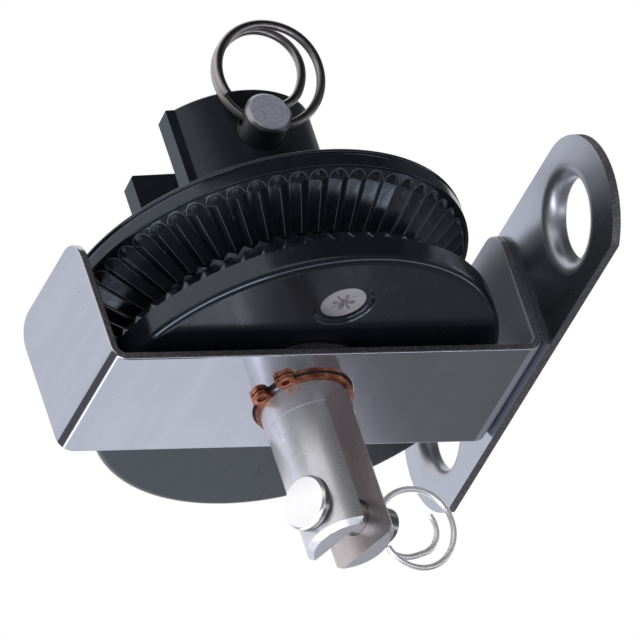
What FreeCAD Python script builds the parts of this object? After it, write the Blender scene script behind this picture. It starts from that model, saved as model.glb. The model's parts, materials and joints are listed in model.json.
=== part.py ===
import FreeCAD, Part
import math
import os

Vec = FreeCAD.Vector

# Furling drum for an endless furling line. Millimetres.
# Z is the drum axis, up towards the head fork. X points at the line lead plate.
# The origin is the middle of the tack clevis pin, on the drum axis.

# Stem: one turned and milled stainless bar with a head at its top
journal_dia = 20.0
clevis_dia = 19.5
pin_to_end = 8.7
pin_to_cage = 29.8
journal_below_cage = 6.7
slot_width = 8.7
slot_stop_below_cage = 0.0
slot_turn = 23.0
end_chamfer = 1.2
head_dia = 29.0
head_thick = 4.0

# Tack clevis pin and its split ring
tack_pin_dia = 8.0
tack_head_dia = 12.2
tack_head_thick = 2.0
tack_pin_reach = 14.7
tack_hole_reach = 12.2
tack_hole_dia = 2.8
tack_pin_roll = 20.0
tack_ring_wire = 1.3
tack_ring_radius = 9.0
tack_ring_swing = -18.0
tack_ring_inset = 3.5
tack_ring_inset_angles = (18.0, 112.0)
tack_ring_end_angles = (-224.0, 325.0)

# Circlip under the cage
circlip_thick = 1.2
circlip_groove_dia = 19.0
circlip_groove_width = 1.3
circlip_wide = 1.6
circlip_narrow = 1.1
circlip_turn = -149.6
lug_angle = 17.2
lug_half_width = 2.1
lug_hole_radius = 11.8
lug_hole_dia = 2.0
lug_tip_radius = 13.3

# Cage: folded strip with the line lead plate on its right flange
sheet = 2.0
cage_length = 104.0
strip_width = 34.5
flange_height = 33.2
bend_radius = 1.6
flange_corner = 6.0
plate_thick = 2.0
plate_width = 33.1
plate_drop = 0.4
near_end_y = -45.6
near_end_radius = 18.2
far_end_y = 35.3
far_end_radius = 17.5
plate_corner = 1.2
lead_hole_near_y = -42.8
lead_hole_far_y = 36.0
lead_hole_rise = 17.0
lead_bore_dia = 17.9
flare_radius = 3.1
collar_wall = 1.4
collar_length = 4.8
collar_fillet = 0.6

# Bush that the cage turns on
bush_dia = 22.0
bush_flange_dia = 32.0
bush_flange_thick = 2.2

# Drum: two fluted cheeks that clamp two ball bearings
drum_dia = 92.0
cheek_gap_to_bush = 0.15
lip_thick = 1.6
lower_rim_height = 6.2
upper_rim_height = 4.2
rim_gap = 19.35
rim_edge_radius = 2.0
rim_lip_width = 0.9
flank_angle = 36.0
hub_dia = 67.0
flute_count = 58
flute_peak_radius = 43.0
flute_half_width = 2.1
flute_height = 1.75
flute_height_at_hub = 1.2
flute_sink = 0.12
lower_flute_phase = 0.33
upper_flute_phase = 3.53

# Ball bearings, two the same; shares are of the section between journal and bearing bore
bearing_dia = 42.0
bearing_width = 12.0
ball_share = 0.577
land_share = 0.19
ball_count = 9
seal_share = 0.06
retainer_share = 0.16
retainer_below_share = 0.39
retainer_above_share = 0.11
spacer_share = 0.28

# Cheek screws
screw_dia = 5.0
screw_head_dia = 10.3
screw_circle_dia = 58.0
screw_count = 3
screw_first_angle = -90.0
screw_recess_dia = 14.0
screw_recess_floor_dia = 12.6
screw_recess_depth = 1.0
screw_grip_in_fork = 4.6
screw_drive_width = 1.3
screw_drive_length = 5.4
screw_drive_depth = 1.6

# Head fork
flange_dia = 69.0
flange_thick = 6.0
fork_turn = -2.9
block_width = 34.6
block_depth = 29.8
boss_dia = 42.4
fork_slot = 19.6
fork_height = 34.2
fork_pin_height = 23.1
fork_slot_floor = 12.4
fork_edge = 0.5
fork_corner_cut = 3.3
cavity_dia = 37.0
cavity_depth = 5.6

# Head clevis pin and its split ring
head_pin_dia = 10.6
head_pin_head_dia = 15.5
head_pin_head_thick = 2.5
head_pin_reach = 28.0
head_hole_reach = 24.0
head_hole_dia = 3.6
head_pin_roll = 72.3
head_ring_wire = 2.0
head_ring_radius = 11.9
head_ring_swing = 81.7
head_ring_inset = 4.5
head_ring_inset_angles = (140.0, 285.0)
head_ring_end_angles = (-325.0, 309.0)

# Sideways room between the turns of a split ring, as a share of its wire
ring_climb = 1.08
ring_climb_angles = (35.0, 165.0)

# Fits
running_gap = 0.05
pin_gap = 0.08
seat_gap = 0.02
side_gap = 0.15
pin_side_gap = 0.15

# Heights that follow from the stack on the stem
cage_z = pin_to_cage
cage_floor_z = cage_z + sheet
bush_top_z = cage_floor_z + bush_flange_thick
drum_z = bush_top_z + cheek_gap_to_bush
lower_bearing_z = drum_z + lip_thick
lower_rim_z = drum_z + lower_rim_height
upper_rim_z = lower_rim_z + rim_gap
drum_top_z = upper_rim_z + upper_rim_height
split_z = 0.5 * (lower_rim_z + upper_rim_z)
upper_bearing_z = drum_top_z - bearing_width
lower_bearing_top = lower_bearing_z + bearing_width
stem_head_z = drum_top_z
fork_top_z = drum_top_z + fork_height
head_pin_z = drum_top_z + fork_pin_height
fork_floor_z = drum_top_z + fork_slot_floor
circlip_z = cage_z - side_gap - circlip_thick
journal_r = 0.5 * journal_dia
clevis_r = 0.5 * clevis_dia
drum_r = 0.5 * drum_dia
bearing_r = 0.5 * bearing_dia
bearing_section = bearing_r - journal_r
ball_dia = ball_share * bearing_section
ball_circle_r = 0.5 * (bearing_r + journal_r)
inner_land_r = ball_circle_r - land_share * bearing_section
outer_land_r = ball_circle_r + land_share * bearing_section
inner_spacer_r = journal_r + spacer_share * bearing_section
outer_spacer_r = bearing_r - spacer_share * bearing_section
seal_thick = seal_share * bearing_section
seal_set_in = 0.5 * seal_thick
screw_circle_r = 0.5 * screw_circle_dia
flank_slope = math.tan(math.radians(flank_angle))


def direction(degrees, height=0.0):
    angle = math.radians(degrees)
    return Vec(math.cos(angle), math.sin(angle), height)


def turn_about_z(shape, degrees):
    turned_shape = shape.copy()
    turned_shape.rotate(Vec(0, 0, 0), Vec(0, 0, 1), degrees)
    return turned_shape


def rod(radius, start, axis, length):
    return Part.makeCylinder(radius, length, start, axis)


def ring(outer_r, inner_r, z_low, z_high):
    blank = Part.makeCylinder(outer_r, z_high - z_low, Vec(0, 0, z_low))
    bore = Part.makeCylinder(inner_r, z_high - z_low, Vec(0, 0, z_low))
    return blank.cut(bore)


def turned(outline):
    """A solid turned about Z from corners given as (radius, height)."""
    corners = [Vec(r, 0, z) for r, z in outline]
    wire = Part.makePolygon(corners + corners[:1])
    return Part.Face(wire).revolve(Vec(0, 0, 0), Vec(0, 0, 1), 360)


def edges_where(shape, test):
    return [edge for edge in shape.Edges if test(edge)]


def edge_middle(edge):
    box = edge.BoundBox
    return Vec(box.Center.x, box.Center.y, box.Center.z)


def centred_box(size_x, size_y, z_low, z_high):
    corner = Vec(-0.5 * size_x, -0.5 * size_y, z_low)
    return Part.makeBox(size_x, size_y, z_high - z_low, corner)


# Stem

def make_stem():
    end_z = -pin_to_end
    step_z = cage_z - journal_below_cage
    head_r = 0.5 * head_dia
    head_top = stem_head_z + head_thick
    head_break = 0.25 * head_thick
    body = turned([
        (0, end_z),
        (clevis_r - end_chamfer, end_z),
        (clevis_r, end_z + end_chamfer),
        (clevis_r, step_z),
        (journal_r, step_z),
        (journal_r, stem_head_z),
        (head_r, stem_head_z),
        (head_r, head_top - head_break),
        (head_r - head_break, head_top),
        (0, head_top),
    ])
    groove_spare = 0.5 * (circlip_groove_width - circlip_thick)
    groove_z = circlip_z - groove_spare
    groove = ring(head_r, 0.5 * circlip_groove_dia, groove_z, groove_z + circlip_groove_width)
    slot_top = cage_z - slot_stop_below_cage
    slot = centred_box(slot_width, 2 * head_dia, end_z - sheet, slot_top)
    pin_hole = rod(0.5 * tack_pin_dia + pin_gap, Vec(-head_dia, 0, 0), Vec(1, 0, 0), 2 * head_dia)
    return body.cut([groove, turn_about_z(slot, slot_turn), turn_about_z(pin_hole, slot_turn)])


def lug_outline(angle):
    """One circlip lug: a tab with its outer corners cut off."""
    root = 0.5 * circlip_groove_dia + running_gap
    corner = 0.35 * lug_half_width
    tip = lug_tip_radius
    half = lug_half_width
    points = [Vec(root, -half, 0), Vec(tip - corner, -half, 0), Vec(tip, -half + corner, 0),
              Vec(tip, half - corner, 0), Vec(tip - corner, half, 0), Vec(root, half, 0)]
    wire = Part.makePolygon(points + points[:1])
    return turn_about_z(Part.Face(wire), angle)


def make_circlip():
    bore_r = 0.5 * circlip_groove_dia + running_gap
    outer_r = bore_r + 0.5 * (circlip_wide + circlip_narrow)
    shift = 0.5 * (circlip_wide - circlip_narrow)
    lift = Vec(0, 0, circlip_thick)
    band = Part.makeCylinder(outer_r, circlip_thick, Vec(-shift, 0, 0))
    lugs = [lug_outline(side * lug_angle).extrude(lift) for side in (-1, 1)]
    solid = band.fuse(lugs)
    lug_centres = [direction(side * lug_angle) * lug_hole_radius for side in (-1, 1)]
    holes = [rod(0.5 * lug_hole_dia, centre, Vec(0, 0, 1), circlip_thick) for centre in lug_centres]
    gap_angle = lug_angle - math.degrees(lug_half_width / lug_hole_radius)
    gap_half = lug_hole_radius * math.sin(math.radians(gap_angle))
    gap = Part.makeBox(2 * lug_tip_radius, 2 * gap_half, circlip_thick, Vec(0, -gap_half, 0))
    bore = Part.makeCylinder(bore_r, circlip_thick)
    solid = solid.cut([bore, gap] + holes).removeSplitter()
    solid.translate(Vec(0, 0, circlip_z))
    return turn_about_z(solid, circlip_turn)


# Cage and line lead plate

def make_cage():
    top_z = cage_z + flange_height
    outer = centred_box(cage_length, strip_width, cage_z, top_z)
    inner = centred_box(cage_length - 2 * sheet, strip_width, cage_floor_z, top_z)
    strip = outer.cut(inner)

    def is_bend(half_length, height):
        def test(edge):
            middle = edge_middle(edge)
            along_y = edge.BoundBox.YLength > 0.9 * strip_width
            return along_y and abs(abs(middle.x) - half_length) < 0.01 and abs(middle.z - height) < 0.01
        return test

    outer_edges = edges_where(strip, is_bend(0.5 * cage_length, cage_z))
    strip = strip.makeFillet(bend_radius + sheet, outer_edges)
    inner_edges = edges_where(strip, is_bend(0.5 * cage_length - sheet, cage_floor_z))
    strip = strip.makeFillet(bend_radius, inner_edges)

    def is_free_corner(edge):
        middle = edge_middle(edge)
        along_x = edge.BoundBox.XLength > 0.9 * sheet and edge.BoundBox.YLength < 0.01
        return along_x and abs(middle.z - top_z) < 0.01 and abs(middle.y) > 0.49 * strip_width

    strip = strip.makeFillet(flange_corner, edges_where(strip, is_free_corner))
    hole = Part.makeCylinder(0.5 * bush_dia + seat_gap, 2 * sheet, Vec(0, 0, cage_z - 0.5 * sheet))
    return strip.cut(hole)


def plate_outline():
    low = cage_z - plate_drop
    high = low + plate_width

    def low_run(radius):
        return math.sqrt(radius ** 2 - (plate_width - radius) ** 2)

    near_low = Vec(0, near_end_y - low_run(near_end_radius), low)
    near_high = Vec(0, near_end_y, high)
    near_tip = Vec(0, near_end_y - near_end_radius, high - near_end_radius)
    far_low = Vec(0, far_end_y + low_run(far_end_radius), low)
    far_high = Vec(0, far_end_y, high)
    far_tip = Vec(0, far_end_y + far_end_radius, high - far_end_radius)
    edges = [
        Part.makeLine(near_low, far_low),
        Part.Arc(far_low, far_tip, far_high).toShape(),
        Part.makeLine(far_high, near_high),
        Part.Arc(near_high, near_tip, near_low).toShape(),
    ]
    return Part.Face(Part.Wire(edges))


def flared_collar():
    """Drawn collar of a line hole, turned about Z with its mouth at z = 0."""
    bore_r = 0.5 * lead_bore_dia
    wall_r = bore_r + collar_wall
    mouth_r = bore_r + flare_radius
    bend = math.sqrt(0.5)
    mouth = Part.Arc(Vec(mouth_r, 0, 0),
                     Vec(mouth_r - flare_radius * bend, 0, flare_radius * (1 - bend)),
                     Vec(bore_r, 0, flare_radius)).toShape()
    lip_mid = bore_r + 0.5 * collar_wall
    lip = Part.Arc(Vec(bore_r, 0, collar_length - 0.5 * collar_wall),
                   Vec(lip_mid, 0, collar_length),
                   Vec(wall_r, 0, collar_length - 0.5 * collar_wall)).toShape()
    root = Part.Arc(Vec(wall_r, 0, plate_thick + collar_fillet),
                    Vec(wall_r + collar_fillet * (1 - bend), 0, plate_thick + collar_fillet * (1 - bend)),
                    Vec(wall_r + collar_fillet, 0, plate_thick)).toShape()
    edges = [
        mouth,
        Part.makeLine(Vec(bore_r, 0, flare_radius), Vec(bore_r, 0, collar_length - 0.5 * collar_wall)),
        lip,
        Part.makeLine(Vec(wall_r, 0, collar_length - 0.5 * collar_wall),
                      Vec(wall_r, 0, plate_thick + collar_fillet)),
        root,
        Part.makeLine(Vec(wall_r + collar_fillet, 0, plate_thick), Vec(mouth_r, 0, plate_thick)),
        Part.makeLine(Vec(mouth_r, 0, plate_thick), Vec(mouth_r, 0, 0)),
    ]
    return Part.Face(Part.Wire(edges)).revolve(Vec(0, 0, 0), Vec(0, 0, 1), 360)


def make_lead_plate():
    face_x = 0.5 * cage_length
    plate = plate_outline().extrude(Vec(plate_thick, 0, 0))
    low_z = cage_z - plate_drop

    def is_low_corner(edge):
        return edge.BoundBox.XLength > 0.9 * plate_thick and edge.BoundBox.ZMax < low_z + 0.01

    plate = plate.makeFillet(plate_corner, edges_where(plate, is_low_corner))
    plate.translate(Vec(face_x, 0, 0))
    hole_z = low_z + lead_hole_rise
    along_x = FreeCAD.Rotation(Vec(0, 0, 1), Vec(1, 0, 0))
    for hole_y in (lead_hole_near_y, lead_hole_far_y):
        centre = Vec(face_x, hole_y, hole_z)
        plate = plate.cut(rod(0.5 * lead_bore_dia + flare_radius, centre, Vec(1, 0, 0), plate_thick))
        collar = flared_collar()
        collar.Placement = FreeCAD.Placement(centre, along_x)
        plate = plate.fuse(collar)
    return plate.removeSplitter()


def make_cage_bush():
    bore_r = journal_r + running_gap
    flange_z = cage_floor_z
    foot_z = cage_z
    edge = 0.4
    return turned([
        (bore_r, foot_z),
        (0.5 * bush_dia, foot_z),
        (0.5 * bush_dia, flange_z),
        (0.5 * bush_flange_dia, flange_z),
        (0.5 * bush_flange_dia, bush_top_z - edge),
        (0.5 * bush_flange_dia - edge, bush_top_z),
        (bore_r, bush_top_z),
    ])


# Bearings and what spaces them

def make_bearing(z_low):
    z_high = z_low + bearing_width
    middle = Vec(0, 0, 0.5 * (z_low + z_high))
    ball_r = 0.5 * ball_dia
    track = Part.makeTorus(ball_circle_r, ball_r + running_gap, middle)
    outer = ring(bearing_r - seat_gap, outer_land_r, z_low, z_high).cut(track)
    inner = ring(inner_land_r, journal_r + seat_gap, z_low, z_high).cut(track)
    places = [middle + direction(360.0 * i / ball_count) * ball_circle_r for i in range(ball_count)]
    balls = Part.makeCompound([Part.makeSphere(ball_r, place) for place in places])
    half_band = 0.5 * retainer_share * bearing_section
    band = ring(ball_circle_r + half_band, ball_circle_r - half_band,
                middle.z - retainer_below_share * bearing_section,
                middle.z + retainer_above_share * bearing_section)
    band = band.cut([Part.makeSphere(ball_r + running_gap, place) for place in places])
    seal_heights = (z_low + seal_set_in, z_high - seal_set_in - seal_thick)
    seal_in = inner_land_r + side_gap
    seals = [ring(outer_land_r - seat_gap, seal_in, z, z + seal_thick) for z in seal_heights]
    return outer, inner, balls, band, Part.makeCompound(seals)


def make_inner_spacer():
    return ring(inner_spacer_r, journal_r + seat_gap, lower_bearing_top, upper_bearing_z)


def make_outer_spacer():
    return ring(bearing_r - seat_gap, outer_spacer_r, lower_bearing_top, upper_bearing_z)


def make_race_washer():
    return ring(inner_spacer_r, journal_r + seat_gap, bush_top_z + running_gap, lower_bearing_z)


# Drum cheeks, built for the lower side; the upper side is mirrored

def flute_tooth():
    """One grip rib on the flank, pointing along +X, its root sunk into the flank.

    The rib is a three-sided bar that tapers towards the hub and ends in a cone at the rim.
    """
    flank_top_r = drum_r - rim_lip_width
    normal = Vec(flank_slope, 0, 1).normalize()
    across = Vec(0, 1, 0)
    inner_r = 0.5 * hub_dia - flute_sink

    def section(radius, height):
        foot = Vec(radius, 0, (flank_top_r - radius) * flank_slope)
        half = flute_half_width * radius / flute_peak_radius * (height + flute_sink) / height
        root = foot - normal * flute_sink
        return [root - across * half, root + across * half, foot + normal * height]

    outer = section(flute_peak_radius, flute_height)
    inner = section(inner_r, flute_height_at_hub)
    ends = [Part.makePolygon(corners + corners[:1]) for corners in (outer, inner)]
    bar = Part.makeLoft(ends, True, True)
    nose_base = (outer[0] + outer[1]) * 0.5
    nose_r = (outer[1] - outer[0]).Length * 0.5
    nose = Part.makeCone(nose_r, 0.0, flute_height + flute_sink, nose_base, normal)
    return bar.fuse(nose)


def cheek_blank(rim_height, bore_floor, lip_r):
    """Cheek with its outer face at z = 0 and its flank facing up, without ribs."""
    flank_top_r = drum_r - rim_lip_width
    hub_r = 0.5 * hub_dia
    flank_rise = (flank_top_r - hub_r) * flank_slope
    hub_top = rim_height + 0.5 * rim_gap
    corner = math.sqrt(0.5)
    edge = rim_edge_radius
    seat_r = bearing_r

    def point(radius, height):
        return Vec(radius, 0, height)

    edges = [
        Part.makeLine(point(lip_r, 0), point(drum_r - edge, 0)),
        Part.Arc(point(drum_r - edge, 0),
                 point(drum_r - edge * (1 - corner), edge * (1 - corner)),
                 point(drum_r, edge)).toShape(),
        Part.makeLine(point(drum_r, edge), point(drum_r, rim_height)),
        Part.makeLine(point(drum_r, rim_height), point(flank_top_r, rim_height)),
        Part.makeLine(point(flank_top_r, rim_height), point(hub_r, rim_height + flank_rise)),
        Part.makeLine(point(hub_r, rim_height + flank_rise), point(hub_r, hub_top)),
        Part.makeLine(point(hub_r, hub_top), point(seat_r, hub_top)),
    ]
    if bore_floor > 0:
        edges += [
            Part.makeLine(point(seat_r, hub_top), point(seat_r, bore_floor)),
            Part.makeLine(point(seat_r, bore_floor), point(lip_r, bore_floor)),
            Part.makeLine(point(lip_r, bore_floor), point(lip_r, 0)),
        ]
    else:
        edges.append(Part.makeLine(point(seat_r, hub_top), point(seat_r, 0)))
    return Part.Face(Part.Wire(edges)).revolve(Vec(0, 0, 0), Vec(0, 0, 1), 360)


def fluted(blank, rim_height, phase):
    tooth = flute_tooth()
    tooth.translate(Vec(0, 0, rim_height))
    pitch = 360.0 / flute_count
    return blank.fuse([turn_about_z(tooth, phase + i * pitch) for i in range(flute_count)])


def screw_places():
    angles = [screw_first_angle + 360.0 * i / screw_count for i in range(screw_count)]
    return [direction(angle) * screw_circle_r for angle in angles]


def screw_head_depth():
    return 0.5 * (screw_head_dia - screw_dia)


def make_lower_cheek():
    blank = cheek_blank(lower_rim_height, lip_thick, outer_land_r)
    cheek = fluted(blank, lower_rim_height, lower_flute_phase)
    height = lower_rim_height + 0.5 * rim_gap
    cuts = []
    for place in screw_places():
        cuts.append(rod(0.5 * screw_dia + side_gap, place, Vec(0, 0, 1), height))
        cuts.append(Part.makeCone(0.5 * screw_recess_dia, 0.5 * screw_recess_floor_dia,
                                  screw_recess_depth, place))
        seat = place + Vec(0, 0, screw_recess_depth)
        cuts.append(Part.makeCone(0.5 * screw_head_dia + seat_gap, 0.5 * screw_dia + seat_gap,
                                  screw_head_depth(), seat))
    cheek = cheek.cut(cuts)
    cheek.translate(Vec(0, 0, drum_z))
    return cheek


def make_upper_cheek():
    blank = cheek_blank(upper_rim_height, 0.0, bearing_r)
    cheek = fluted(blank, upper_rim_height, upper_flute_phase)
    cheek = cheek.mirror(Vec(0, 0, 0), Vec(0, 0, 1))
    cheek.translate(Vec(0, 0, drum_top_z))
    height = drum_top_z - split_z
    cuts = [rod(0.5 * screw_dia + side_gap, place + Vec(0, 0, split_z), Vec(0, 0, 1), height)
            for place in screw_places()]
    return cheek.cut(cuts)


def cheek_screw():
    """Countersunk screw with its head face at z = 0 and its shank pointing up."""
    length = drum_top_z + screw_grip_in_fork - drum_z - screw_recess_depth
    tip = 0.5
    solid = turned([
        (0, 0),
        (0.5 * screw_head_dia, 0),
        (0.5 * screw_dia, screw_head_depth()),
        (0.5 * screw_dia, length - tip),
        (0.5 * screw_dia - tip, length),
        (0, length),
    ])
    slot = centred_box(screw_drive_length, screw_drive_width, 0, screw_drive_depth)
    return solid.cut([slot, turn_about_z(slot, 90)])


def make_cheek_screws():
    screws = []
    for place in screw_places():
        screw = cheek_screw()
        screw.translate(place + Vec(0, 0, drum_z + screw_recess_depth))
        screws.append(screw)
    return Part.makeCompound(screws)


# Head fork

def make_fork():
    flange = turned([
        (0, drum_top_z),
        (0.5 * flange_dia, drum_top_z),
        (0.5 * flange_dia, drum_top_z + flange_thick - fork_edge),
        (0.5 * flange_dia - fork_edge, drum_top_z + flange_thick),
        (0, drum_top_z + flange_thick),
    ])
    block = centred_box(block_width, block_depth, drum_top_z, fork_top_z)

    def is_right_corner(edge):
        return edge.BoundBox.ZLength > 0.9 * fork_height and edge_middle(edge).x > 0.49 * block_width

    block = block.makeChamfer(fork_corner_cut, edges_where(block, is_right_corner))
    boss = Part.makeCylinder(0.5 * boss_dia, fork_height, Vec(0, 0, drum_top_z))
    boss = boss.common(centred_box(block_width, boss_dia, drum_top_z, fork_top_z))
    body = block.fuse(boss).removeSplitter()
    top_edges = edges_where(body, lambda edge: edge.BoundBox.ZMin > fork_top_z - 0.01)
    body = body.makeChamfer(fork_edge, top_edges)
    slot = centred_box(2 * block_width, fork_slot, fork_floor_z, fork_top_z + fork_slot)
    pin_hole = rod(0.5 * head_pin_dia + pin_gap, Vec(0, -boss_dia, head_pin_z), Vec(0, 1, 0), 2 * boss_dia)
    body = turn_about_z(body.cut([slot, pin_hole]), fork_turn)
    fork = body.fuse(flange).removeSplitter()
    cavity = Part.makeCylinder(0.5 * cavity_dia, cavity_depth, Vec(0, 0, drum_top_z))
    depth = screw_grip_in_fork + side_gap
    tapped = [rod(0.5 * screw_dia + seat_gap, place + Vec(0, 0, drum_top_z), Vec(0, 0, 1), depth)
              for place in screw_places()]
    return fork.cut([cavity] + tapped)


# Clevis pins and split rings

def clevis_pin(pin_dia, seat_reach, tip_reach, head_width, head_depth, hole_reach, hole_width):
    """Pin along +X through the origin: head at the -X end, ring hole along Z near the +X end."""
    tip = 0.08 * pin_dia
    pin_r = 0.5 * pin_dia
    head_r = 0.5 * head_width
    head_edge = 0.25 * head_depth
    low = -seat_reach - head_depth
    outline = [
        (0, low),
        (head_r - head_edge, low),
        (head_r, low + head_edge),
        (head_r, -seat_reach),
        (pin_r, -seat_reach),
        (pin_r, tip_reach - tip),
        (pin_r - tip, tip_reach),
        (0, tip_reach),
    ]
    pin = turned(outline)
    pin.rotate(Vec(0, 0, 0), Vec(0, 1, 0), 90)
    hole = rod(0.5 * hole_width, Vec(hole_reach, 0, -pin_dia), Vec(0, 0, 1), 2 * pin_dia)
    return pin.cut(hole)


def step_between(angle, limits):
    """Rises smoothly from 0 to 1 as the angle goes through the limits."""
    low, high = limits
    value = min(1.0, max(0.0, (angle - low) / (high - low)))
    return value * value * (3.0 - 2.0 * value)


def tangent_arcs(points, tangents):
    """Pairs of arcs that pass through the points with the given directions."""
    edges = []
    for start, end, start_dir, end_dir in zip(points, points[1:], tangents, tangents[1:]):
        span = end - start
        both = start_dir + end_dir
        spread = 2.0 * (1.0 - start_dir.dot(end_dir))
        along = span.dot(both)
        reach = (math.sqrt(along * along + spread * span.dot(span)) - along) / spread
        join = (start + start_dir * reach + end - end_dir * reach) * 0.5
        edges.append(arc_from(start, join, start_dir, False))
        edges.append(arc_from(end, join, end_dir * -1.0, True))
    return edges


def arc_from(start, end, lead, backwards):
    """Arc that leaves the start along the lead direction and reaches the end."""
    chord = end - start
    length = chord.Length
    chord = chord * (1.0 / length)
    bulge = lead - chord * lead.dot(chord)
    half_turn = 0.5 * math.atan2(bulge.Length, lead.dot(chord))
    rise = 0.5 * length * math.tan(half_turn)
    middle = start + chord * (0.5 * length) + bulge.normalize() * rise
    first, last = (end, start) if backwards else (start, end)
    return Part.Arc(first, middle, last).toShape()


def split_ring(wire_dia, radius, pin_dia, turn_side, inset, inset_angles, end_angles):
    """Split ring in the XZ plane whose wire runs through the origin along Z.

    The angle of a point is counted from the origin. The turn before the origin narrows by
    the inset, and the turn after it climbs aside along -Y by a little more than the wire.
    """
    sag = radius - math.sqrt(radius ** 2 - (0.5 * pin_dia) ** 2)
    centre = radius - 0.5 * sag
    climb = ring_climb * wire_dia
    first_angle, last_angle = end_angles

    def place(angle):
        inside = inset * step_between(-angle, inset_angles)
        aside = climb * step_between(angle, ring_climb_angles)
        turn = math.radians(angle)
        reach = radius - inside
        return Vec(centre - reach * math.cos(turn), -aside, turn_side * reach * math.sin(turn))

    step_count = int(round((last_angle - first_angle) / 24.0))
    angles = [first_angle + (last_angle - first_angle) * i / step_count for i in range(step_count + 1)]
    points = [place(angle) for angle in angles]
    tangents = [(place(angle + 0.5) - place(angle - 0.5)).normalize() for angle in angles]
    path = Part.Wire(tangent_arcs(points, tangents))
    profile = Part.Wire(Part.makeCircle(0.5 * wire_dia, points[0], tangents[0]))
    return path.makePipeShell([profile], True, False)


def tack_pin_frame():
    along = FreeCAD.Rotation(Vec(0, 0, 1), slot_turn)
    roll = FreeCAD.Rotation(Vec(1, 0, 0), tack_pin_roll)
    return FreeCAD.Placement(Vec(0, 0, 0), along.multiply(roll))


def head_pin_frame():
    """Points the pin's +X to the near side of the fork."""
    along = FreeCAD.Rotation(Vec(0, 0, 1), fork_turn - 90.0)
    roll = FreeCAD.Rotation(Vec(1, 0, 0), head_pin_roll)
    return FreeCAD.Placement(Vec(0, 0, head_pin_z), along.multiply(roll))


def swung(loop, swing, reach):
    """Swings a ring about the pin's cross hole and moves it out to that hole."""
    rotation = FreeCAD.Rotation(Vec(0, 0, 1), swing)
    return FreeCAD.Placement(Vec(reach, 0, 0), rotation).multiply(loop.Placement)


def make_tack_pin():
    pin = clevis_pin(tack_pin_dia, clevis_r + pin_side_gap, tack_pin_reach, tack_head_dia,
                     tack_head_thick, tack_hole_reach, tack_hole_dia)
    pin.Placement = tack_pin_frame().multiply(pin.Placement)
    return pin


def make_tack_ring():
    loop = split_ring(tack_ring_wire, tack_ring_radius, tack_pin_dia, 1, tack_ring_inset,
                      tack_ring_inset_angles, tack_ring_end_angles)
    loop.Placement = tack_pin_frame().multiply(swung(loop, tack_ring_swing, tack_hole_reach))
    return loop


def make_head_pin():
    pin = clevis_pin(head_pin_dia, 0.5 * boss_dia + pin_side_gap, head_pin_reach, head_pin_head_dia,
                     head_pin_head_thick, head_hole_reach, head_hole_dia)
    pin.Placement = head_pin_frame().multiply(pin.Placement)
    return pin


def make_head_ring():
    loop = split_ring(head_ring_wire, head_ring_radius, head_pin_dia, -1, head_ring_inset,
                      head_ring_inset_angles, head_ring_end_angles)
    loop.Placement = head_pin_frame().multiply(swung(loop, head_ring_swing, head_hole_reach))
    return loop


def export(node, shape):
    shape.exportStep("parts/" + node + ".step")


def export_bearing(name, z_low):
    for part_name, shape in zip(bearing_parts, make_bearing(z_low)):
        export(name + "_" + part_name, shape)


bearing_parts = ("outer_race", "inner_race", "balls", "ball_cage", "seals")

os.makedirs("parts", exist_ok=True)
export("stem", make_stem())
export("circlip", make_circlip())
export("cage", make_cage())
export("lead_plate", make_lead_plate())
export("cage_bush", make_cage_bush())
export_bearing("lower_bearing", lower_bearing_z)
export_bearing("upper_bearing", upper_bearing_z)
export("inner_spacer", make_inner_spacer())
export("outer_spacer", make_outer_spacer())
export("race_washer", make_race_washer())
export("lower_cheek", make_lower_cheek())
export("upper_cheek", make_upper_cheek())
export("cheek_screws", make_cheek_screws())
export("fork", make_fork())
export("tack_pin", make_tack_pin())
export("tack_ring", make_tack_ring())
export("head_pin", make_head_pin())
export("head_ring", make_head_ring())
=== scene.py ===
import json
from math import cos, radians, sin, tau

import bmesh
import bpy
from mathutils import Matrix, Vector


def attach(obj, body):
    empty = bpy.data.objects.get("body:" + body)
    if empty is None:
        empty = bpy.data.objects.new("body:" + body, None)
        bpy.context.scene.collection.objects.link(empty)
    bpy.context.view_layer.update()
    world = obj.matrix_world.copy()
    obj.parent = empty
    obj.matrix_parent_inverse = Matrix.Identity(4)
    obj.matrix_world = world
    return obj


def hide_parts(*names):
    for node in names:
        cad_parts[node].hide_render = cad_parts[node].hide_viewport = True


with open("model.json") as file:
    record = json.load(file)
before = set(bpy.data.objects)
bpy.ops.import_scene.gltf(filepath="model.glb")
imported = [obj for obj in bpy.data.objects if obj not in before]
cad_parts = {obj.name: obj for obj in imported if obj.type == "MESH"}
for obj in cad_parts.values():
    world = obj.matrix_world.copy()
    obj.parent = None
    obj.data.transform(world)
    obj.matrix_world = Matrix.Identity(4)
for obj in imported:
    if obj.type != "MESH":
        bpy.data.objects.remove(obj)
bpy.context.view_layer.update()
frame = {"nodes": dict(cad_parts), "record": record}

mm = 0.001
nodes = frame["nodes"]
bodies = frame["record"]["behaviour"]["bodies"]
print("frame loaded:", len(nodes), "nodes")


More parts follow.
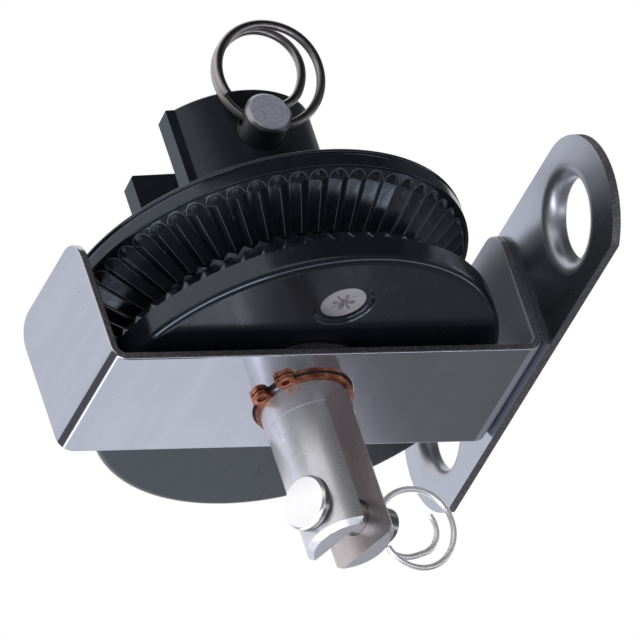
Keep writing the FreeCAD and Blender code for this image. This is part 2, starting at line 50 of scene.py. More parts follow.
class Value:
    # a socket that can be added, multiplied and compared like a number
    def __init__(self, shader, socket):
        self.shader = shader
        self.socket = socket

    def math(self, operation, *others):
        return self.shader.math(operation, self, *others)

    def __add__(self, other):
        return self.math("ADD", other)

    def __sub__(self, other):
        return self.math("SUBTRACT", other)

    def __rsub__(self, other):
        return self.shader.math("SUBTRACT", other, self)

    def __mul__(self, other):
        return self.math("MULTIPLY", other)

    def __pow__(self, other):
        return self.math("POWER", other)

    def __abs__(self):
        return self.math("ABSOLUTE")

    __radd__ = __add__
    __rmul__ = __mul__

    def below(self, limit, soft):
        # 1 where the value is under the limit, fading to 0 over the soft width
        return self.shader.add("ShaderNodeMapRange", {"interpolation_type": "SMOOTHSTEP"},
                               {"Value": self, "From Min": limit - soft, "From Max": limit + soft,
                                "To Min": 1.0, "To Max": 0.0})

    def over(self, limit, soft):
        return 1 - self.below(limit, soft)

    def between(self, low, high, soft):
        return self.over(low, soft) * self.below(high, soft)


class Shader:
    def __init__(self, name):
        self.material = bpy.data.materials.new(name)
        self.material.use_nodes = True
        self.tree = self.material.node_tree
        self.surface = self.tree.nodes["Principled BSDF"]

    def add(self, kind, settings=None, sockets=None, out=0):
        made = self.tree.nodes.new(kind)
        for key, setting in (settings or {}).items():
            if key == "stops":
                ramp = made.color_ramp.elements
                while len(ramp) < len(setting):
                    ramp.new(0.5)
                for stop, (place, colour) in zip(ramp, setting):
                    stop.position = place
                    stop.color = (*colour, 1)
            else:
                setattr(made, key, setting)
        for key, value in (sockets or {}).items():
            self.feed(made.inputs[key], value)
        return Value(self, made.outputs[out])

    def feed(self, socket, value):
        if isinstance(value, Value):
            self.tree.links.new(value.socket, socket)
        elif socket.type == "RGBA":
            socket.default_value = (*value, 1)
        else:
            socket.default_value = value

    def math(self, operation, *numbers):
        return self.add("ShaderNodeMath", {"operation": operation}, dict(enumerate(numbers)))

    def place(self):
        return self.axes(self.objectPlace())

    def facing(self):
        return self.axes(self.add("ShaderNodeTexCoord", out="Normal"))

    def objectPlace(self):
        return self.add("ShaderNodeTexCoord", out="Object")

    def axes(self, vector):
        return [self.add("ShaderNodeSeparateXYZ", {}, {"Vector": vector}, out=axis) for axis in "XYZ"]

    def noise(self, pattern, stretch=(1, 1, 1)):
        # a pattern is scale, detail and roughness
        scale, detail, roughness = pattern
        where = self.add("ShaderNodeMapping", {}, {"Vector": self.objectPlace(), "Scale": stretch})
        return self.add("ShaderNodeTexNoise", {}, {"Vector": where, "Scale": scale, "Detail": detail,
                                                   "Roughness": roughness})

    def mix(self, factor, first, second):
        # the sockets of the node's colour mode go by number, because its modes share their names
        return self.add("ShaderNodeMix", {"data_type": "RGBA"}, {0: factor, 6: first, 7: second}, out=2)

    def cloudy(self, look):
        # the look's two colours in soft patches
        return self.mix(self.noise(look["cloud"]), look["light"], look["dark"])

    def bump(self, height, distance):
        return self.add("ShaderNodeBump", {}, {"Height": height, "Distance": distance})

    def finish(self, **sockets):
        names = {"colour": "Base Color", "roughness": "Roughness", "metallic": "Metallic",
                 "normal": "Normal", "specular": "Specular IOR Level", "specularTint": "Specular Tint"}
        for key, value in sockets.items():
            self.feed(self.surface.inputs[names[key]], value)
        return self.material

    def glow(self, colour, strength):
        return self.add("ShaderNodeEmission", {}, {"Color": colour, "Strength": strength})

    def output(self, surface):
        self.tree.links.new(surface.socket, self.tree.nodes["Material Output"].inputs["Surface"])


# In the looks below a noise is scale, detail and roughness, and a limit comes with its soft width.
sheetLook = {
    "light": (0.545, 0.550, 0.600), "dark": (0.470, 0.475, 0.520), "cloud": (34.0, 3.0, 0.55),
    "stroke": (0.62, 0.62, 0.66), "patch": (150.0, 4.0, 0.6), "strokeOver": (0.56, 0.14),
    "strokeShare": 0.35, "pit": (0.14, 0.14, 0.15), "pits": (900.0, 1.0, 0.55), "pitOver": (0.78, 0.02),
    "pitShare": 0.6, "cutDark": (0.095, 0.095, 0.105), "cutLight": (0.24, 0.235, 0.25),
    "grain": (1900.0, 4.0, 0.7), "grainOver": (0.57, 0.08), "lines": (700.0, 3.0, 0.6),
    "grainWay": (1.0, 0.06, 1.0), "roughness": 0.085, "cloudRoughness": 0.02, "patchRoughness": 0.04,
    "cutRoughness": 0.24, "cutPaleness": 0.25, "dullPaleness": 0.10, "lineHeight": 0.5,
    "patchHeight": 0.5, "cutHeight": 6.0, "relief": 0.000004,
}


def sheetSteel(name, cutMask, dullMask):
    # polished stainless sheet: cutMask is 1 on the sawn or punched edges, dullMask adds roughness
    look = sheetLook
    shader = Shader(name)
    cloud = shader.noise(look["cloud"])
    patch = shader.noise(look["patch"], look["grainWay"])
    lines = shader.noise(look["lines"], look["grainWay"])
    grain = shader.noise(look["grain"])
    pits = shader.noise(look["pits"]).over(*look["pitOver"])
    cut = cutMask(shader)
    dull = dullMask(shader)
    body = shader.mix(cloud, look["light"], look["dark"])
    body = shader.mix(patch.over(*look["strokeOver"]) * look["strokeShare"], body, look["stroke"])
    body = shader.mix(pits * look["pitShare"], body, look["pit"])
    edge = shader.mix(grain.over(*look["grainOver"]), look["cutDark"], look["cutLight"])
    rough = look["roughness"] + cloud * look["cloudRoughness"] + patch * look["patchRoughness"]
    rough = rough + cut * look["cutRoughness"] + dull
    height = lines * look["lineHeight"] + patch * look["patchHeight"] + cut * grain * look["cutHeight"]
    return shader.finish(colour=shader.mix(cut, body, edge), roughness=rough,
                         metallic=1 - cut * look["cutPaleness"] - dull * look["dullPaleness"],
                         normal=shader.bump(height, look["relief"]))


cageMasks = {"rightFlange": (0.0485, 0.0005), "cutSide": (0.0168, 0.0001), "flangeTop": (0.0618, 0.0002),
             "square": (0.95, 0.03), "dull": 0.45}  # metres, apart from square and dull
plateMasks = {"holes": ((-0.0428, 0.0464), (0.0360, 0.0464)), "collar": (0.0122, 0.0006),
              "mouth": (0.0135, 0.0002), "aside": (0.25, 0.08), "dull": 0.12, "collarDull": 0.14}


def cageDull(shader):
    # the inside of the right flange is less polished
    x, y, z = shader.place()
    return x.over(*cageMasks["rightFlange"]) * cageMasks["dull"]


def cageCut(shader):
    # the strip's two long cut edges face along Y, and the flange tops face up
    nx, ny, nz = shader.facing()
    x, y, z = shader.place()
    side = abs(ny).over(*cageMasks["square"]) * abs(y).over(*cageMasks["cutSide"])
    top = nz.over(*cageMasks["square"]) * z.over(*cageMasks["flangeTop"])
    return side.math("MAXIMUM", top)


def holeDistances(shader):
    x, y, z = shader.place()
    return [((y - holeY) ** 2.0 + (z - holeZ) ** 2.0) ** 0.5 for holeY, holeZ in plateMasks["holes"]]


def plateDull(shader):
    # the drawn collars of the line holes are duller than the flat plate
    dull = plateMasks["dull"]
    for distance in holeDistances(shader):
        dull = dull + distance.below(*plateMasks["collar"]) * plateMasks["collarDull"]
    return dull


def plateCut(shader):
    # the plate's outline faces neither along X nor into a line hole
    nx, ny, nz = shader.facing()
    rim = abs(nx).below(*plateMasks["aside"])
    for distance in holeDistances(shader):
        rim = rim * distance.over(*plateMasks["mouth"])
    return rim


tackTurn = radians(23)
stemLook = {
    "light": (0.68, 0.67, 0.70), "dark": (0.50, 0.49, 0.52), "cloud": (120.0, 4.0, 0.55),
    "milledLight": (0.42, 0.38, 0.385), "milledDark": (0.60, 0.56, 0.565), "mill": (1800.0, 2.0, 0.55),
    "millWay": (1, 1, 0.12), "rings": (5200.0, 3.0, 0.55), "ringWay": (0.004, 0.004, 1),
    "slotHalf": (0.00437, 0.00002), "slotTop": (0.0299, 0.0001), "upright": (0.5, 0.1),
    "roughness": 0.20, "ringRoughness": 0.10, "cloudRoughness": 0.08, "metal": 0.84, "millHeight": 3.0,
    "relief": 0.0000015,
}


def stemSteel():
    # turned bar with lathe marks, and a milled slot
    look = stemLook
    shader = Shader("stemSteel")
    x, y, z = shader.place()
    nx, ny, nz = shader.facing()
    across = x * cos(tackTurn) + y * sin(tackTurn)
    rings = shader.noise(look["rings"], look["ringWay"])
    cloud = shader.noise(look["cloud"])
    mill = shader.noise(look["mill"], look["millWay"])
    slot = abs(across).below(*look["slotHalf"]) * z.below(*look["slotTop"]) * abs(nz).below(*look["upright"])
    turned = shader.mix(cloud, look["light"], look["dark"])
    milled = shader.mix(mill, look["milledLight"], look["milledDark"])
    rough = look["roughness"] + rings * look["ringRoughness"] + cloud * look["cloudRoughness"]
    height = rings * (1 - slot) + slot * mill * look["millHeight"]
    return shader.finish(colour=shader.mix(slot, turned, milled), roughness=rough,
                         metallic=look["metal"], normal=shader.bump(height, look["relief"]))


plainSteelLook = {"cloud": (160.0, 4.0, 0.55), "lines": (3000.0, 3.0, 0.55), "lineRoughness": 0.14,
                  "relief": 0.000006}


def plainSteel(name, light, dark, roughness, metal=1.0):
    look = plainSteelLook
    shader = Shader(name)
    lines = shader.noise(look["lines"])
    return shader.finish(colour=shader.mix(shader.noise(look["cloud"]), light, dark),
                         roughness=roughness + lines * look["lineRoughness"], metallic=metal,
                         normal=shader.bump(lines, look["relief"]))


clipLook = {"stops": [(0.34, (0.13, 0.035, 0.022)), (0.52, (0.40, 0.13, 0.065)), (0.70, (0.80, 0.42, 0.27))],
            "patch": (340.0, 5.0, 0.6), "grain": (2400.0, 3.0, 0.55), "roughness": 0.26,
            "grainRoughness": 0.2, "metal": 0.9, "relief": 0.00002}


def clipBronze():
    look = clipLook
    shader = Shader("clipBronze")
    patch = shader.noise(look["patch"])
    grain = shader.noise(look["grain"])
    return shader.finish(colour=shader.add("ShaderNodeValToRGB", {"stops": look["stops"]}, {"Fac": patch}),
                         roughness=look["roughness"] + grain * look["grainRoughness"],
                         metallic=look["metal"], normal=shader.bump(grain, look["relief"]))


coldTint = (0.80, 0.88, 1.0)  # black plastic mirrors the studio a little blue
cheekLook = {
    "light": (0.0040, 0.0047, 0.0070), "dark": (0.0066, 0.0076, 0.0112), "cloud": (60.0, 4.0, 0.55),
    "dust": (0.09, 0.095, 0.10), "specks": (3000.0, 2.0, 0.55), "speckOver": (0.70, 0.05),
    "speckShare": 0.25, "scuffs": (700.0, 6.0, 0.75), "scuffWay": (1, 0.15, 1),
    "dullOver": (0.62, 0.08), "deepOver": (0.66, 0.05), "ripple": (900.0, 2.0, 0.55),
    "roughness": 0.12, "cloudRoughness": 0.08, "scuffRoughness": 0.16, "scuffHeight": 0.35,
    "specular": 0.68, "relief": 0.000010,
}
forkLook = {"light": (0.0028, 0.0038, 0.0060), "dark": (0.0046, 0.0060, 0.0088),
            "cloud": (70.0, 4.0, 0.55), "grain": (3600.0, 3.0, 0.55), "roughness": 0.36,
            "grainRoughness": 0.16, "specular": 0.62, "relief": 0.000012}


def cheekPlastic():
    # glossy black moulding with fine dust and light scuffs
    look = cheekLook
    shader = Shader("cheekPlastic")
    cloud = shader.noise(look["cloud"])
    scuffs = shader.noise(look["scuffs"], look["scuffWay"])
    specks = shader.noise(look["specks"]).over(*look["speckOver"])
    ripple = shader.noise(look["ripple"])
    colour = shader.mix(cloud, look["light"], look["dark"])
    rough = look["roughness"] + cloud * look["cloudRoughness"]
    rough = rough + scuffs.over(*look["dullOver"]) * look["scuffRoughness"]
    height = ripple + scuffs.over(*look["deepOver"]) * look["scuffHeight"]
    return shader.finish(colour=shader.mix(specks * look["speckShare"], colour, look["dust"]),
                         roughness=rough, specular=look["specular"], specularTint=coldTint,
                         normal=shader.bump(height, look["relief"]))


def forkBlack():
    look = forkLook
    shader = Shader("forkBlack")
    grain = shader.noise(look["grain"])
    return shader.finish(colour=shader.cloudy(look),
                         roughness=look["roughness"] + grain * look["grainRoughness"],
                         specular=look["specular"], specularTint=coldTint,
                         normal=shader.bump(grain, look["relief"]))


headTurn = radians(-92.9)
pinLook = {"light": (0.40, 0.39, 0.38), "dark": (0.27, 0.26, 0.26), "cloud": (220.0, 4.0, 0.55),
           "grain": (1500.0, 4.0, 0.7), "grainOver": (0.5, 0.2), "endWidth": 0.00005,
           "roughness": 0.24, "cloudRoughness": 0.10, "cloudHeight": 0.3, "relief": 0.00002}
pinEnds = {  # the way to the pin's seen end, and where that face starts, in metres
    "tack_pin": {"name": "tackPinSteel", "way": (-cos(tackTurn), -sin(tackTurn)), "from": 0.0112,
                 "light": (0.96, 0.95, 0.94), "dark": (0.90, 0.885, 0.875), "roughness": 0.0,
                 "paleness": 0.06, "height": 0.2},
    "head_pin": {"name": "headPinSteel", "way": (cos(headTurn), sin(headTurn)), "from": 0.0277,
                 "light": (0.33, 0.33, 0.40), "dark": (0.19, 0.19, 0.235), "roughness": 0.20,
                 "paleness": 0.45, "height": 1.5},
}


def pinSteel(node):
    # a turned pin whose end face has a finish of its own
    look = pinLook
    end = pinEnds[node]
    shader = Shader(end["name"])
    x, y, z = shader.place()
    cloud = shader.noise(look["cloud"])
    grain = shader.noise(look["grain"])
    mask = (x * end["way"][0] + y * end["way"][1]).over(end["from"], look["endWidth"])
    side = shader.mix(cloud, look["light"], look["dark"])
    face = shader.mix(grain.over(*look["grainOver"]), end["light"], end["dark"])
    height = mask * grain * end["height"] + cloud * look["cloudHeight"]
    rough = look["roughness"] + cloud * look["cloudRoughness"] + mask * end["roughness"]
    return shader.finish(colour=shader.mix(mask, side, face), roughness=rough,
                         metallic=1 - mask * end["paleness"], normal=shader.bump(height, look["relief"]))


screwLook = {
    "light": (0.80, 0.775, 0.79), "dark": (0.56, 0.54, 0.555), "cloud": (260.0, 4.0, 0.55),
    # the marks' colour is painted shade inside their grooves
    "markShade": (0.10, 0.095, 0.10), "markShadeShare": 0.9, "circle": 0.029, "turns": (-90, 30, 150),
    "markHalf": (0.00022, 0.00008), "markReach": (0.0012, 0.0033, 0.0001), "markDepth": 3.0,
    "grain": (1700.0, 4.0, 0.7), "grainHeight": 0.6, "roughness": 0.26, "grainRoughness": 0.16,
    "metal": 0.9, "relief": 0.00003,
}


def screwSteel():
    # four short stamped marks between the arms of the cross recess, cut in by the bump and painted dark as
    # shade inside their grooves
    look = screwLook
    shader = Shader("screwSteel")
    x, y, z = shader.place()
    grain = shader.noise(look["grain"])
    marks = 0.0
    for turn in look["turns"]:
        u = x - look["circle"] * cos(radians(turn))
        v = y - look["circle"] * sin(radians(turn))
        reach = (u ** 2.0 + v ** 2.0) ** 0.5
        line = abs(abs(u) - abs(v)).below(*look["markHalf"])
        marks = marks + line * reach.between(*look["markReach"])
    height = grain * look["grainHeight"] - marks * look["markDepth"]
    # the marks are mixed in with their painted shade colour
    return shader.finish(colour=shader.mix(marks * look["markShadeShare"], shader.cloudy(look), look["markShade"]),
                         roughness=look["roughness"] + grain * look["grainRoughness"],
                         metallic=look["metal"], normal=shader.bump(height, look["relief"]))


sealLook = {"light": (0.012, 0.012, 0.012), "dark": (0.03, 0.03, 0.03), "cloud": (300.0, 3.0, 0.55),
            "roughness": 0.5, "cloudRoughness": 0.2, "relief": 0.00001}
mouldedLook = {"cloud": (200.0, 4.0, 0.55), "cloudRoughness": 0.15, "relief": 0.00001}


def rubberSeal():
    look = sealLook
    shader = Shader("rubberSeal")
    cloud = shader.noise(look["cloud"])
    return shader.finish(colour=shader.mix(cloud, look["light"], look["dark"]),
                         roughness=look["roughness"] + cloud * look["cloudRoughness"],
                         normal=shader.bump(cloud, look["relief"]))


def plainPlastic(name, light, dark, roughness):
    look = mouldedLook
    shader = Shader(name)
    cloud = shader.noise(look["cloud"])
    return shader.finish(colour=shader.mix(cloud, light, dark),
                         roughness=roughness + cloud * look["cloudRoughness"],
                         normal=shader.bump(cloud, look["relief"]))


finishes = {
    "cage": sheetSteel("cageSteel", cageCut, cageDull),
    "lead_plate": sheetSteel("plateSteel", plateCut, plateDull),
    "stem": stemSteel(),
    "circlip": clipBronze(),
    "cage_bush": plainPlastic("bushPlastic", (0.018, 0.018, 0.021), (0.030, 0.030, 0.034), 0.35),
    "lower_cheek": cheekPlastic(),
    "cheek_screws": screwSteel(),
    "fork": forkBlack(),
    "tack_pin": pinSteel("tack_pin"),
    "head_pin": pinSteel("head_pin"),
    "tack_ring": plainSteel("tackRingWire", (0.86, 0.84, 0.86), (0.74, 0.72, 0.74), 0.26, 0.75),
    "head_ring": plainSteel("headRingWire", (0.52, 0.485, 0.49), (0.38, 0.355, 0.36), 0.30),
    "lower_bearing_outer_race": plainSteel("raceSteel", (0.55, 0.55, 0.56), (0.45, 0.45, 0.46), 0.16),
    "lower_bearing_balls": plainSteel("ballSteel", (0.65, 0.65, 0.66), (0.58, 0.58, 0.59), 0.05),
    "lower_bearing_ball_cage": plainPlastic("retainerNylon", (0.62, 0.57, 0.43), (0.52, 0.47, 0.35), 0.4),
    "lower_bearing_seals": rubberSeal(),
    "inner_spacer": plainSteel("spacerSteel", (0.48, 0.48, 0.49), (0.38, 0.38, 0.39), 0.25),
}
sameFinish = {"upper_cheek": "lower_cheek", "outer_spacer": "inner_spacer", "race_washer": "inner_spacer",
              "lower_bearing_inner_race": "lower_bearing_outer_race",
              "upper_bearing_outer_race": "lower_bearing_outer_race",
              "upper_bearing_inner_race": "lower_bearing_outer_race",
              "upper_bearing_balls": "lower_bearing_balls",
              "upper_bearing_ball_cage": "lower_bearing_ball_cage",
              "upper_bearing_seals": "lower_bearing_seals"}
for node, like in sameFinish.items():
    finishes[node] = finishes[like]
for node, obj in nodes.items():
    for materialSlot in obj.material_slots:
        materialSlot.material = finishes[node]
print("finishes:", len(bpy.data.materials))


# Widths are in millimetres and angles in degrees.
edgeWidths = {"cage": 0.45, "lead_plate": 0.40, "stem": 0.15, "circlip": 0.10, "lower_cheek": 0.14,
              "upper_cheek": 0.14, "cheek_screws": 0.10, "fork": 0.60, "tack_pin": 0.15, "head_pin": 0.15}
edgeLook = {"segments": 3, "from": 28, "mergeWithin": 0.002, "flatWithin": 0.3, "weight": 50}


def addObject(name, data):
    piece = bpy.data.objects.new(name, data)
    bpy.context.scene.collection.objects.link(piece)
    return piece


def bodyOf(node):
    return next(name for name, members in bodies.items() if node in members)


def dress(piece, node):
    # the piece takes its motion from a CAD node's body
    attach(piece, bodyOf(node))


def softened(node, width):
    # a merged copy of the CAD node with small rounded edges, which catch the light as real ones do
    shape = bmesh.new()
    shape.from_mesh(nodes[node].data)
    bmesh.ops.remove_doubles(shape, verts=shape.verts, dist=edgeLook["mergeWithin"] * mm)
    bmesh.ops.dissolve_limit(shape, angle_limit=radians(edgeLook["flatWithin"]), verts=shape.verts,
                             edges=shape.edges)
    mesh = bpy.data.meshes.new(node + "_soft")
    shape.to_mesh(mesh)
    shape.free()
    mesh.materials.clear()
    mesh.materials.append(finishes[node])
    mesh.shade_smooth()
    piece = addObject(node + "_soft", mesh)
    bevel = piece.modifiers.new("edges", "BEVEL")
    bevel.width = width * mm
    bevel.segments = edgeLook["segments"]
    bevel.limit_method = "ANGLE"
    bevel.angle_limit = radians(edgeLook["from"])
    bevel.use_clamp_overlap = True
    weighted = piece.modifiers.new("shading", "WEIGHTED_NORMAL")
    weighted.mode = "FACE_AREA"
    weighted.weight = edgeLook["weight"]
    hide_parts(node)
    dress(piece, node)


for node, width in edgeWidths.items():
    softened(node, width)
print("softened pieces:", len(edgeWidths))


def wireTree():
    # sweeps a round wire along the lines of a mesh and sets copies of it out around the drum axis
    tree = bpy.data.node_groups.new("wireAlongPath", "GeometryNodeTree")
    face = tree.interface
    face.new_socket("Path", in_out="INPUT", socket_type="NodeSocketGeometry")
    inputs = {"Wire radius": "Float", "Sides": "Int", "Copies": "Int", "Finish": "Material"}
    for name, kind in inputs.items():
        face.new_socket(name, in_out="INPUT", socket_type="NodeSocket" + kind)
    face.new_socket("Wire", in_out="OUTPUT", socket_type="NodeSocketGeometry")

    def add(kind, sockets, **settings):
        made = tree.nodes.new(kind)
        for key, value in settings.items():
            setattr(made, key, value)
        for key, value in sockets.items():
            if isinstance(value, bpy.types.NodeSocket):
                tree.links.new(value, made.inputs[key])
            else:
                made.inputs[key].default_value = value
        return made

    given = add("NodeGroupInput", {}).outputs
    line = add("GeometryNodeMeshToCurve", {"Mesh": given["Path"]}).outputs[0]
    section = add("GeometryNodeCurvePrimitiveCircle",
                  {"Resolution": given["Sides"], "Radius": given["Wire radius"]}).outputs[0]
    wire = add("GeometryNodeCurveToMesh", {"Curve": line, "Profile Curve": section, "Fill Caps": True})
    places = add("GeometryNodePoints", {"Count": given["Copies"]})
    number = add("GeometryNodeInputIndex", {}).outputs[0]
    step = add("ShaderNodeMath", {0: tau, 1: given["Copies"]}, operation="DIVIDE").outputs[0]
    angle = add("ShaderNodeMath", {0: number, 1: step}, operation="MULTIPLY").outputs[0]
    turn = add("ShaderNodeCombineXYZ", {"Z": angle}).outputs[0]
    copies = add("GeometryNodeInstanceOnPoints",
                 {"Points": places.outputs[0], "Instance": wire.outputs[0], "Rotation": turn})
    solid = add("GeometryNodeRealizeInstances", {"Geometry": copies.outputs[0]})
    smooth = add("GeometryNodeSetShadeSmooth", {"Geometry": solid.outputs[0]})
    dressed = add("GeometryNodeSetMaterial", {"Geometry": smooth.outputs[0], "Material": given["Finish"]})
    add("NodeGroupOutput", {"Wire": dressed.outputs[0]})
    return tree


wires = wireTree()
wireSharp = 60  # degrees


def wirePiece(name, points, closed, wire, sides, finish, copies=1):
    # a plain mesh of a round wire, its radius in millimetres, along points in metres
    lines = [(i, i + 1) for i in range(len(points) - 1)]
    if closed:
        lines.append((len(points) - 1, 0))
    mesh = bpy.data.meshes.new(name)
    mesh.from_pydata(points, lines, [])
    piece = addObject(name, mesh)
    modifier = piece.modifiers.new("wire", "NODES")
    modifier.node_group = wires
    settings = {"Wire radius": wire * mm, "Sides": sides, "Copies": copies, "Finish": finish}
    for item in wires.interface.items_tree:
        if item.name in settings:
            modifier[item.identifier] = settings[item.name]
    graph = bpy.context.evaluated_depsgraph_get()
    made = bpy.data.meshes.new_from_object(piece.evaluated_get(graph), preserve_all_data_layers=True,
                                           depsgraph=graph)
    piece.modifiers.clear()
    piece.data = made
    made.set_sharp_from_angle(angle=radians(wireSharp))
    return piece


def smoothStep(angle, low, high):
    share = min(1.0, max(0.0, (angle - low) / (high - low)))
    return share * share * (3 - 2 * share)


def ringLine(ring):
    # the wire's middle line: one turn narrows before the pin hole and the next climbs aside after it
    pinRadius = ring["pin"] / 2
    middle = ring["radius"] - 0.5 * (ring["radius"] - (ring["radius"] ** 2 - pinRadius ** 2) ** 0.5)
    swing = Matrix.Translation((ring["reach"], 0, 0)) @ Matrix.Rotation(radians(ring["swing"]), 4, "Z")
    pin = Matrix.Rotation(radians(ring["along"]), 4, "Z") @ Matrix.Rotation(radians(ring["roll"]), 4, "X")
    first, last = ring["ends"]
    points = []
    for i in range(ringSteps + 1):
        angle = first + (last - first) * i / ringSteps
        reach = ring["radius"] - ring["inset"] * smoothStep(-angle, *ring["insetAngles"])
        aside = ring["climb"] * ring["wire"] * smoothStep(angle, *ring["climbAngles"])
        turn = radians(angle)
        local = Vector((middle - reach * cos(turn), -aside, ring["side"] * reach * sin(turn)))
        points.append((pin @ swing @ local + Vector((0, 0, ring["height"]))) * mm)
    return points


ringSteps = 160  # along the wire
ringSides = 20
splitRings = {  # millimetres and degrees
    "tack_ring": {"wire": 1.3, "radius": 9.0, "pin": 8.0, "side": 1, "inset": 3.5, "insetAngles": (18, 112),
                  "climb": 1.08, "climbAngles": (35, 165), "ends": (-224, 325), "swing": -18,
                  "reach": 12.2, "along": 23, "roll": 20, "height": 0},
    "head_ring": {"wire": 2.0, "radius": 11.9, "pin": 10.6, "side": -1, "inset": 4.5,
                  "insetAngles": (140, 285), "climb": 1.08, "climbAngles": (35, 165),
                  "ends": (-325, 309), "swing": 81.7, "reach": 24.0, "along": -92.9, "roll": 72.3,
                  "height": 87.0},
}
for node, ring in splitRings.items():
    piece = wirePiece(node + "_wire", ringLine(ring), False, ring["wire"] / 2, ringSides, finishes[node])
    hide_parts(node)
    dress(piece, node)
print("split rings:", len(splitRings))

ribs = {"count": 58, "flankTop": 45.1, "peak": 43.0, "hub": 33.7, "slope": 36.0, "halfWidth": 2.1,
        "height": 1.75, "heightAtHub": 1.2, "rim": 59.70, "phase": 3.53}
ribWires = {"nose": 0.11, "ridge": 0.07}  # radius round the foot of a rib's nose, and along its top
ribSides = 8
noseEnd = 84  # degrees either way from the rib's middle
noseSteps = 14
ridgeSteps = 4
rimBeads = {  # rounded corners of the rims: radius and height of the wire's middle, wire radius
    "lower_cheek": ((45.55, 40.20, 0.30),),
    "upper_cheek": ((45.55, 59.85, 0.30), (45.62, 63.48, 0.42)),
}
beadSteps = 240
beadSides = 12
# lighter than the cheek plastic: this colour paints the thin highlights on the ribs' rounded edges
ribEdgeHighlight = plainPlastic("ribEdgeHighlightPaint", (0.055, 0.060, 0.072), (0.085, 0.090, 0.105), 0.14)


def ribEdges(kind):
    # the moulded rounding along the ridges of the upper cheek's ribs, or round the roots of their noses, in
    # a lighter colour that paints their thin highlights
    lean = radians(ribs["slope"])
    flank = Vector((cos(lean), 0, -sin(lean)))
    normal = Vector((sin(lean), 0, cos(lean)))

    def foot(radius):
        return Vector((radius, 0, (ribs["flankTop"] - radius) * sin(lean) / cos(lean)))

    if kind == "nose":
        line = [foot(ribs["peak"]) + ribs["halfWidth"] * (flank * cos(turn) + Vector((0, sin(turn), 0)))
                for turn in (radians(2 * noseEnd * i / noseSteps - noseEnd) for i in range(noseSteps + 1))]
    else:
        top = foot(ribs["peak"]) + normal * ribs["height"]
        low = foot(ribs["hub"]) + normal * ribs["heightAtHub"]
        line = [top.lerp(low, i / ridgeSteps) for i in range(ridgeSteps + 1)]
    phase = Matrix.Rotation(radians(ribs["phase"]), 3, "Z")
    points = [phase @ Vector((point.x, point.y, ribs["rim"] - point.z)) * mm for point in line]
    dress(wirePiece("upper_cheek_" + kind + "Edges", points, False, ribWires[kind], ribSides, ribEdgeHighlight,
                    ribs["count"]), "upper_cheek")


def rimBead(node, number):
    radius, height, wire = rimBeads[node][number]
    points = []
    for i in range(beadSteps):
        turn = tau * i / beadSteps
        points.append((radius * cos(turn) * mm, radius * sin(turn) * mm, height * mm))
    dress(wirePiece(node + "_rimBead" + str(number), points, True, wire, beadSides, finishes[node]), node)


for node in rimBeads:
    for number in range(len(rimBeads[node])):
        rimBead(node, number)
for kind in ribWires:
    ribEdges(kind)
print("rib edges:", len(ribWires))

cameraPlace = {"target": (-0.0032, -0.0227, 0.0351), "azimuth": -31.449, "elevation": -30.973,
               "roll": -18.757, "distance": 5.0556, "lens": 1318.8, "sensor": 36.0, "clipEnd": 100.0}


def makeCamera():
    place = cameraPlace
    azimuth, elevation = radians(place["azimuth"]), radians(place["elevation"])
    forward = Vector((-sin(azimuth) * cos(elevation), cos(azimuth) * cos(elevation), -sin(elevation)))
    level = forward.cross(Vector((0, 0, 1))).normalized()
    above = level.cross(forward)
    roll = radians(place["roll"])
    right = level * cos(roll) + above * sin(roll)
    up = above * cos(roll) - level * sin(roll)
    camera = bpy.data.cameras.new("camera")
    camera.lens = place["lens"]
    camera.sensor_width = place["sensor"]
    camera.clip_end = place["clipEnd"]
    eye = addObject("camera", camera)
    turn = Matrix((right, up, -forward)).transposed().to_4x4()
    eye.matrix_world = Matrix.Translation(Vector(place["target"]) - forward * place["distance"]) @ turn
    bpy.context.scene.camera = eye
    return right, up, -forward


viewRight, viewUp, viewBack = makeCamera()
centre = Vector(cameraPlace["target"])
print("camera ready")


floorLook = {"height": -6.0, "size": 120.0, "colour": (0.86, 0.86, 0.87), "roughness": 0.9, "white": 0.85}
worldLight = 0.50
plainTo = ("Is Camera Ray", "Is Glossy Ray", "Is Transmission Ray")  # these see a plain white studio
lamps = {  # place in right, up and towards the camera, metres; size; watts
    "keyLamp": ((-1.6, 1.9, 1.5), 1.6, 60.0),
    "fillLamp": ((2.2, 0.2, 1.6), 1.8, 30.0),
    "topLamp": ((0.3, 2.4, -0.9), 1.8, 40.0),
    "sideLamp": ((-2.0, -0.5, 0.2), 0.8, 90.0),
}
cards = {  # what only reflections see: way in right, up and towards the camera; metres; brightness
    "underCard": {"way": (0.284, -0.836, -0.47), "far": 0.45, "width": 1.3, "height": 0.8, "light": 0.98,
                  "dark": 0.19, "turnsDark": (-0.008, 0.014)},
    "leftCard": {"way": (-0.80, -0.02, -0.60), "far": 1.4, "width": 1.5, "height": 1.5, "light": 0.95},
    "overCard": {"way": (0.50, 0.86, 0.05), "far": 1.1, "width": 2.0, "height": 1.5, "light": 0.06},
    "forkCard": {"from": (0.0, -0.020, 0.088), "way": (0.20, 0.90, 0.30), "far": 0.10, "width": 0.21,
                 "height": 0.13, "light": 0.0},
    "forkSideCard": {"from": (0.014, -0.014, 0.088), "way": (0.62, 0.47, -0.62), "far": 0.11, "width": 0.11,
                     "height": 0.09, "light": 0.10},
}
bands = {  # bent cards for the rounded lower edges: downward leans and turns of the edge, metres, brightness
    "edgeShade": ((0.30, 2.60), (170, 346), 1.00, 0.14),
    "edgeLight": ((0.88, 1.07), (170, 346), 0.50, 2.4),
    "edgeGlow": ((0.82, 1.12), (192, 240), 0.44, 5.0),
}
bandSteps = 39
cardTint = (0.88, 0.91, 1.0)


def inView(offset):
    return centre + viewRight * offset[0] + viewUp * offset[1] + viewBack * offset[2]


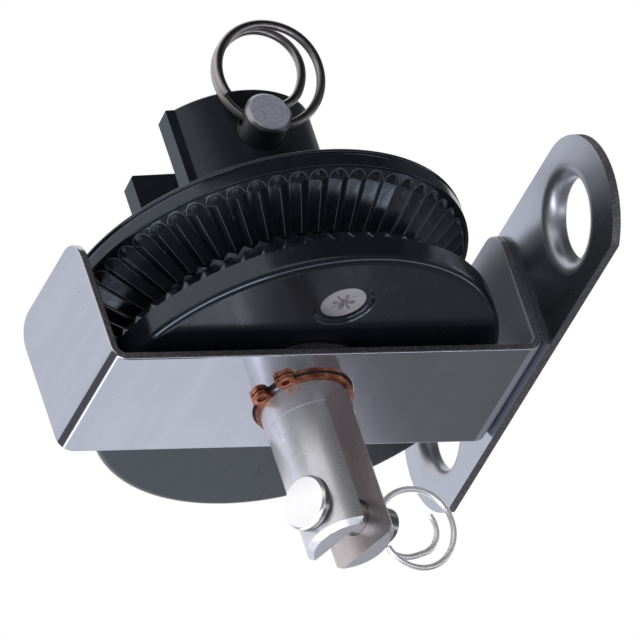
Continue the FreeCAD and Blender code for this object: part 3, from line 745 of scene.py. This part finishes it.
def flatPiece(name, points, faces, material):
    mesh = bpy.data.meshes.new(name)
    mesh.from_pydata(points, [], faces)
    mesh.materials.append(material)
    return addObject(name, mesh)


def board(name, width, height, material):
    corners = [(-width / 2, -height / 2, 0), (width / 2, -height / 2, 0), (width / 2, height / 2, 0),
               (-width / 2, height / 2, 0)]
    return flatPiece(name, corners, [(0, 1, 2, 3)], material)


def makeFloor():
    # nearly plain white to the camera and in reflections, with a share of the real shadows
    shader = Shader("paleFloor")
    size = floorLook["size"]
    floor = board("floor", size, size, shader.finish(colour=floorLook["colour"],
                                                   roughness=floorLook["roughness"]))
    floor.location.z = floorLook["height"]
    camera, glossy, through = [shader.add("ShaderNodeLightPath", out=ray) for ray in plainTo]
    mask = camera.math("MAXIMUM", glossy).math("MAXIMUM", through)
    plain = Value(shader, shader.surface.outputs[0])
    shader.output(shader.add("ShaderNodeMixShader", {}, {0: mask * floorLook["white"], 1: plain,
                                                         2: shader.glow((1.0, 1.0, 1.0), 1.0)}))


def makeWorld():
    world = bpy.data.worlds.new("studio")
    world.use_nodes = True
    bpy.context.scene.world = world
    tree = world.node_tree
    plain = tree.nodes["Background"]
    white = tree.nodes.new("ShaderNodeBackground")
    for background, strength in ((plain, worldLight), (white, 1.0)):
        background.inputs["Color"].default_value = (1, 1, 1, 1)
        background.inputs["Strength"].default_value = strength
    path = tree.nodes.new("ShaderNodeLightPath")
    seen = path.outputs[plainTo[0]]
    for ray in plainTo[1:]:
        either = tree.nodes.new("ShaderNodeMath")
        either.operation = "MAXIMUM"
        tree.links.new(seen, either.inputs[0])
        tree.links.new(path.outputs[ray], either.inputs[1])
        seen = either.outputs[0]
    mixed = tree.nodes.new("ShaderNodeMixShader")
    tree.links.new(seen, mixed.inputs[0])
    tree.links.new(plain.outputs[0], mixed.inputs[1])
    tree.links.new(white.outputs[0], mixed.inputs[2])
    tree.links.new(mixed.outputs[0], tree.nodes["World Output"].inputs["Surface"])


def makeLamps():
    for name, (offset, size, power) in lamps.items():
        light = bpy.data.lights.new(name, "AREA")
        light.shape = "DISK"
        light.size = size
        light.energy = power
        lamp = addObject(name, light)
        lamp.location = inView(offset)
        lamp.rotation_euler = (lamp.location - centre).to_track_quat("Z", "Y").to_euler()
        lamp.visible_glossy = False


def hideCard(piece):
    # only reflections see a card
    piece.visible_camera = False
    piece.visible_diffuse = False
    piece.visible_shadow = False


def makeBand(name):
    # the places that an edge of each lean reflects to the camera, round the drum's near side
    leans, (first, last), far, light = bands[name]
    shader = Shader(name)
    shader.output(shader.glow(cardTint, light))
    points = []
    for i in range(bandSteps + 1):
        turn = radians(first + (last - first) * i / bandSteps)
        for lean in leans:
            normal = Vector((cos(turn), sin(turn), -lean)).normalized()
            points.append(centre + (2 * viewBack.dot(normal) * normal - viewBack) * far)
    faces = [(2 * i, 2 * i + 1, 2 * i + 3, 2 * i + 2) for i in range(bandSteps)]
    hideCard(flatPiece(name, points, faces, shader.material))


def makeCard(name):
    look = cards[name]
    shader = Shader(name)
    strength = look["light"]
    if "dark" in look:
        x, y, z = shader.place()
        strength = look["dark"] + (look["light"] - look["dark"]) * x.below(*look["turnsDark"])
    shader.output(shader.glow(cardTint, strength))
    piece = board(name, look["width"], look["height"], shader.material)
    hideCard(piece)
    way = (inView(look["way"]) - centre).normalized()
    across = (viewRight - way * viewRight.dot(way)).normalized()
    turn = Matrix((across, way.cross(across) * -1, -way)).transposed().to_4x4()
    piece.matrix_world = Matrix.Translation(Vector(look.get("from", centre)) + way * look["far"]) @ turn


makeFloor()
makeWorld()
makeLamps()
for name in cards:
    makeCard(name)
for name in bands:
    makeBand(name)
bpy.context.scene.view_settings.view_transform = "Standard"
print("studio ready")
